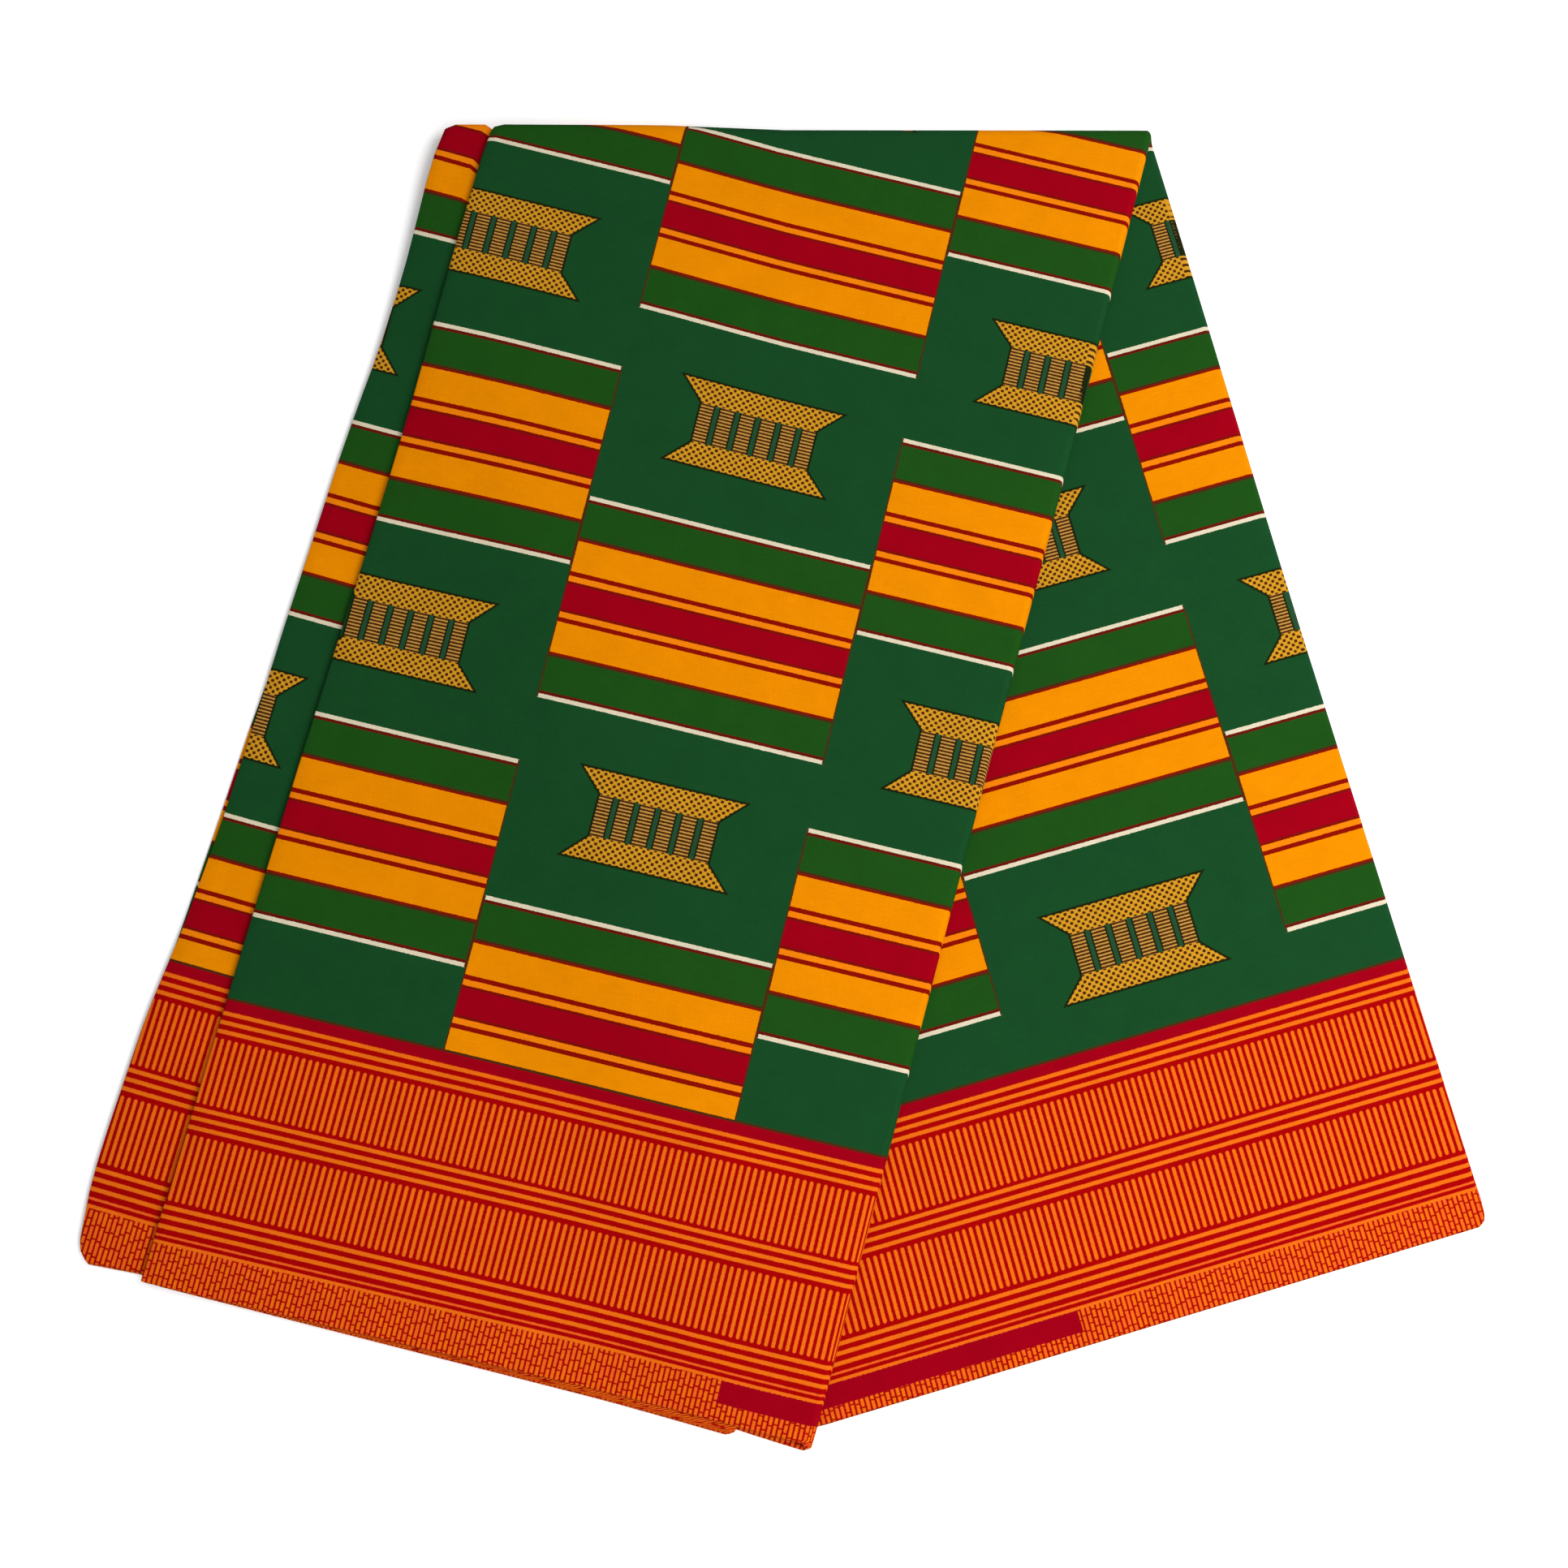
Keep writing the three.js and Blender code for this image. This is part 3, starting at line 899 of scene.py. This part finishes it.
def placed_group(tree, group, **inputs):
    node = tree.nodes.new("ShaderNodeGroup")
    node.node_tree = group
    for title, value in inputs.items():
        feed(tree, node.inputs[title.replace("_", " ")], value)
    return node


def print_group(settings):
    """The whole print's colour, from u along the cloth and v across it."""

    def ink(name):
        return tuple(getattr(settings, name))

    tree, (u, v), result = new_group("Kente print", ["U", "V"], [("Color", "NodeSocketColor")])
    column_width = settings.column_width / MM
    repeat = settings.repeat / MM
    column = (u / column_width).floor()
    odd = abs(column.within(2.0))
    level = v - BLOCK_CENTRE - odd * COLUMN_SHIFT
    block = placed_group(tree, block_group(ink), Distance=abs(level.from_middle(repeat)))
    from_gap = (level - repeat / 2).from_middle(repeat)
    across = u - (column + 0.5) * column_width
    motif = placed_group(tree, motif_group(ink), X=across, Y=from_gap)
    in_range = v.above(MOTIF_FIRST) * v.below(MOTIF_LAST)
    mask = Signal(tree, motif.outputs["Mask"]) * in_range
    field = mixed(tree, mask, block.outputs["Color"], motif.outputs["Color"])
    block_end = (abs(across) * -1 + column_width / 2).below(BLOCK_END)
    block_end = block_end * abs(level.from_middle(repeat)).below(BLOCK_HALF)
    field = mixed(tree, block_end, field, ink("brown"))
    edge = (v + FRONT_EDGE).lowest(v * -1 + BACK_EDGE)
    border_width = settings.border / MM
    outlined = mixed(tree, edge.below(border_width + FIELD_LINE), field, ink("brown"))
    field_edge = mixed(tree, edge.below(border_width), outlined, ink("crimson"))
    back = v.above(CLOTH_WIDTH / 2)
    border = placed_group(tree, border_group(ink, settings), Along=u, From_selvedge=edge, Back=back)
    in_border = edge.below(BORDER_LINES[0] + LINE_HALF + BORDER_MARGIN)
    feed(tree, result.inputs["Color"], mixed(tree, in_border, field_edge, border.outputs["Color"]))
    return tree


# The cotton itself.
SLUB_ALONG, SLUB_ACROSS = 0.12, 1.6  # a slub's unevenness, for each millimetre
SLUB_SHADES = (0.2, 0.12)  # how much the slubs of the two thread systems darken and lighten the dye
MOTTLE_SCALE = 0.06
MOTTLE_SHADE = 0.24
BLEED_SCALE = 0.9  # the ink bleeds a little, so that its edges are uneven
BLEED = 0.5
COTTON_ROUGHNESS = 0.78
COTTON_GLOSS = 0.01
WEAVE_STRENGTH = 0.6
WEAVE_RELIEF = 0.0002
MATT = 0.9  # roughness of the finest threads and the floor
UV_NAME = "Print"


def cotton_group(settings):
    """Plain-weave cotton: thread height, and a light mottling of the dye with slubs along the threads."""
    tree, (u, v), result = new_group(
        "Cotton weave", ["U", "V"], [("Height", "NodeSocketFloat"), ("Shade", "NodeSocketFloat")]
    )
    pitch = settings.weave_pitch / MM
    warp, weft = u.wave(2 * pitch), v.wave(2 * pitch)
    slub = noise(tree, joined(tree, u * SLUB_ALONG, v * SLUB_ACROSS), 1.0, 3.0)
    warp_slub = noise(tree, joined(tree, u * SLUB_ACROSS, v * SLUB_ALONG), 1.0, 3.0)
    mottle = noise(tree, joined(tree, u, v), MOTTLE_SCALE, 5.0, 0.6)
    height = warp * weft * 0.5 + slub + warp_slub * 0.6
    shade = (slub - 0.5) * SLUB_SHADES[0] + (warp_slub - 0.5) * SLUB_SHADES[1]
    shade = shade + (mottle - 0.5) * MOTTLE_SHADE + 1.0
    feed(tree, result.inputs["Height"], height)
    feed(tree, result.inputs["Shade"], shade)
    return tree


def cotton_material(settings):
    material = bpy.data.materials.new("printed_cotton")
    material.use_nodes = True
    tree = material.node_tree
    shader = tree.nodes["Principled BSDF"]
    place = tree.nodes.new("ShaderNodeUVMap")
    place.uv_map = UV_NAME
    split = tree.nodes.new("ShaderNodeSeparateXYZ")
    feed(tree, split.inputs[0], place.outputs[0])
    u = Signal(tree, split.outputs[0]) / MM
    v = Signal(tree, split.outputs[1]) / MM
    bled_u, bled_v = (
        value + (noise(tree, joined(tree, u, v, layer), BLEED_SCALE, 2.0) - 0.5) * BLEED
        for value, layer in ((u, 0.0), (v, 40.0))
    )
    printed = placed_group(tree, print_group(settings), U=bled_u, V=bled_v)
    cotton = placed_group(tree, cotton_group(settings), U=u, V=v)
    shaded = mixed(tree, 1.0, printed.outputs["Color"], cotton.outputs["Shade"], "MULTIPLY")
    feed(tree, shader.inputs["Base Color"], shaded)
    shader.inputs["Roughness"].default_value = COTTON_ROUGHNESS
    shader.inputs["Specular IOR Level"].default_value = COTTON_GLOSS
    bump = tree.nodes.new("ShaderNodeBump")
    bump.inputs["Strength"].default_value = WEAVE_STRENGTH
    bump.inputs["Distance"].default_value = WEAVE_RELIEF
    feed(tree, bump.inputs["Height"], cotton.outputs["Height"])
    feed(tree, shader.inputs["Normal"], bump.outputs["Normal"])
    return material


class CLOTH_OT_sheet(bpy.types.Operator):
    """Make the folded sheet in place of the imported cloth"""

    bl_idname = "cloth.folded_sheet"
    bl_label = "Folded Sheet"

    def execute(self, context):
        scene = context.scene
        sheet = FoldedSheet(scene.cloth_fold)
        vertices, prints, quads = sheet.mesh_data()
        mesh = bpy.data.meshes.new("cloth_sheet")
        mesh.from_pydata(on_frame(vertices), [], quads)
        if mesh.validate():
            raise RuntimeError("the folded sheet's mesh is not sound")
        layer = mesh.uv_layers.new(name=UV_NAME)
        for loop in mesh.loops:
            u, v = prints[loop.vertex_index]
            layer.data[loop.index].uv = (u * MM, v * MM)
        mesh.shade_smooth()
        mesh.materials.append(cotton_material(scene.cloth_print))
        cloth = new_object("cloth_sheet", mesh)
        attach(cloth, "root")
        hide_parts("cloth")
        middle = sheet.section(1.0)
        middle[-1].walked * MM
        return {"FINISHED"}


# The loose thread ends.
THREAD_SIDES = 3
THREAD_SEED = 11
THREAD_TURN = 0.7  # how far an end turns from square to the selvedge, and how far it leans up or down
THREAD_LEAN = 0.1
THREAD_SMALLEST = (0.6, 0.2, 0.6)  # scale of the smallest end: its thickness, its length, its thickness


def thread_tree(material):
    """Geometry nodes: fine loose thread ends along a path."""
    tree = bpy.data.node_groups.new("Thread ends", "GeometryNodeTree")
    sockets = (
        ("Path", "NodeSocketGeometry"),
        ("Count", "NodeSocketInt"),
        ("Length", "NodeSocketFloat"),
        ("Thickness", "NodeSocketFloat"),
        ("Seed", "NodeSocketInt"),
    )
    for name, kind in sockets:
        tree.interface.new_socket(name=name, in_out="INPUT", socket_type=kind)
    tree.interface.new_socket(name="Threads", in_out="OUTPUT", socket_type="NodeSocketGeometry")
    given = tree.nodes.new("NodeGroupInput").outputs

    def node(kind, **inputs):
        made = tree.nodes.new(kind)
        for name, value in inputs.items():
            feed(tree, made.inputs[name.replace("_", " ")], value)
        return made

    def random(low, high):
        made = tree.nodes.new("FunctionNodeRandomValue")
        made.data_type = "FLOAT_VECTOR"
        made.inputs[0].default_value = low
        made.inputs[1].default_value = high
        feed(tree, made.inputs["Seed"], given["Seed"])
        return made.outputs[0]

    path = node("GeometryNodeMeshToCurve", Mesh=given["Path"])
    path = node("GeometryNodeResampleCurve", Curve=path.outputs[0], Count=given["Count"])
    end = node("ShaderNodeCombineXYZ", Y=given["Length"])
    thread = node("GeometryNodeCurvePrimitiveLine", End=end.outputs[0])
    ring = node("GeometryNodeCurvePrimitiveCircle", Resolution=THREAD_SIDES, Radius=given["Thickness"])
    thread = node(
        "GeometryNodeCurveToMesh", Curve=thread.outputs[0], Profile_Curve=ring.outputs[0], Fill_Caps=True
    )
    threads = node(
        "GeometryNodeInstanceOnPoints",
        Points=path.outputs[0],
        Instance=thread.outputs[0],
        Rotation=random(
            (-THREAD_LEAN, 0, math.pi - THREAD_TURN), (THREAD_LEAN, 0, math.pi + THREAD_TURN)
        ),
        Scale=random(THREAD_SMALLEST, (1, 1, 1)),
    )
    threads = node("GeometryNodeRealizeInstances", Geometry=threads.outputs[0])
    threads = node("GeometryNodeSetMaterial", Geometry=threads.outputs[0])
    threads.inputs["Material"].default_value = material
    tree.links.new(threads.outputs[0], tree.nodes.new("NodeGroupOutput").inputs[0])
    return tree


class CLOTH_OT_threads(bpy.types.Operator):
    """Make the fine loose thread ends along the front selvedge"""

    bl_idname = "cloth.thread_ends"
    bl_label = "Thread Ends"

    def execute(self, context):
        scene = context.scene
        settings = scene.cloth_threads
        sheet = FoldedSheet(scene.cloth_fold)
        edge = [point for point in sheet.section_at(0) if point.ply == TOP_PLY and not point.share]
        path = on_frame([sheet.risen(sheet.place(point, 0)[0], point.s, FOLD_CORNER) for point in edge])
        mesh = bpy.data.meshes.new("thread_path")
        mesh.from_pydata(path, [(i, i + 1) for i in range(len(path) - 1)], [])
        threads = new_object("thread_ends", mesh)
        tree = thread_tree(plain_material("loose_thread", settings.colour, MATT))
        modifier = threads.modifiers.new("Thread ends", "NODES")
        modifier.node_group = tree
        values = {
            "Count": settings.count,
            "Length": settings.length,
            "Thickness": settings.thickness / 2,
            "Seed": THREAD_SEED,
        }
        for item in tree.interface.items_tree:
            if item.in_out == "INPUT" and item.name in values:
                modifier[item.identifier] = values[item.name]
        context.view_layer.update()
        finished = threads.evaluated_get(context.evaluated_depsgraph_get())
        threads.data = bpy.data.meshes.new_from_object(finished)
        threads.modifiers.clear()
        if not threads.data.polygons:
            raise RuntimeError("the thread ends were not made")
        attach(threads, "root")
        return {"FINISHED"}


# The stage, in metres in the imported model's frame.
CAMERA_PLACE = (-0.0046, -0.1004)
KEY_PLACE = (0.65, 0.25, 0.8)
KEY_SIZE = 0.6
FILL_PLACE = (0.45, -0.75, 0.85)
FILL_SIZE = 0.8
FLOOR_HALF = 3.0
FLOOR_GREY = 0.92


def area_light(name, power, size, place):
    """A square light that is aimed at the cloth."""
    data = bpy.data.lights.new(name, "AREA")
    data.energy = power
    data.size = size
    light = new_object(name, data)
    light.location = place
    light.visible_camera = False
    light.rotation_euler = (-Vector(place)).to_track_quat("-Z", "Y").to_euler()


class CLOTH_OT_stage(bpy.types.Operator):
    """Make the floor, the studio light and the camera"""

    bl_idname = "cloth.stage"
    bl_label = "Stage"

    def execute(self, context):
        scene = context.scene
        settings = scene.cloth_stage
        mesh = bpy.data.meshes.new("floor")
        corners = [(x * FLOOR_HALF, y * FLOOR_HALF, 0) for x, y in ((-1, -1), (1, -1), (1, 1), (-1, 1))]
        mesh.from_pydata(corners, [], [(0, 1, 2, 3)])
        mesh.materials.append(plain_material("floor_paper", [FLOOR_GREY] * 3, MATT))
        new_object("floor", mesh)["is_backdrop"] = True

        world = bpy.data.worlds.new("studio")
        world.use_nodes = True
        background = world.node_tree.nodes["Background"]
        background.inputs["Color"].default_value = (1, 1, 1, 1)
        background.inputs["Strength"].default_value = settings.sky
        scene.world = world
        area_light("key", settings.key_power, KEY_SIZE, KEY_PLACE)
        area_light("fill", settings.fill_power, FILL_SIZE, FILL_PLACE)
        scene.view_settings.view_transform = "Standard"

        data = bpy.data.cameras.new("camera")
        data.lens = settings.lens
        data.sensor_width = 36.0
        camera = new_object("camera", data)
        camera.location = (*CAMERA_PLACE, settings.camera_height)
        camera.rotation_euler = (settings.camera_tilt, 0, 0)
        scene.camera = camera
        return {"FINISHED"}


class CLOTH_PT_panel(bpy.types.Panel):
    """Lists the cloth's pieces and settings"""

    bl_idname = "CLOTH_PT_panel"
    bl_label = "Folded Cloth"
    bl_space_type = "VIEW_3D"
    bl_region_type = "UI"
    bl_category = "Folded Cloth"

    def draw(self, context):
        layout = self.layout
        for operator in (CLOTH_OT_sheet, CLOTH_OT_threads, CLOTH_OT_stage):
            layout.operator(operator.bl_idname)
        for name in SETTINGS:
            settings = getattr(context.scene, name)
            box = layout.box()
            for prop in settings.bl_rna.properties:
                if prop.identifier not in {"rna_type", "name"}:
                    box.prop(settings, prop.identifier)


SETTINGS = {
    "cloth_fold": ClothFoldSettings,
    "cloth_print": ClothPrintSettings,
    "cloth_threads": ClothThreadSettings,
    "cloth_stage": ClothStageSettings,
}
CLASSES = (*SETTINGS.values(), CLOTH_OT_sheet, CLOTH_OT_threads, CLOTH_OT_stage, CLOTH_PT_panel)


def register():
    for cls in CLASSES:
        bpy.utils.register_class(cls)
    for name, cls in SETTINGS.items():
        setattr(bpy.types.Scene, name, PointerProperty(type=cls))


def unregister():
    for name in SETTINGS:
        delattr(bpy.types.Scene, name)
    for cls in reversed(CLASSES):
        bpy.utils.unregister_class(cls)


def plain(bounds):
    return [[float(value) for value in corner] for corner in bounds]


def main():
    register()
    bpy.ops.cloth.folded_sheet()
    bpy.ops.cloth.thread_ends()
    bpy.ops.cloth.stage()
    {"cad": plain(CAD_BOUNDS), "visual": plain(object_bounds())}


if __name__ == "__main__":
    main()
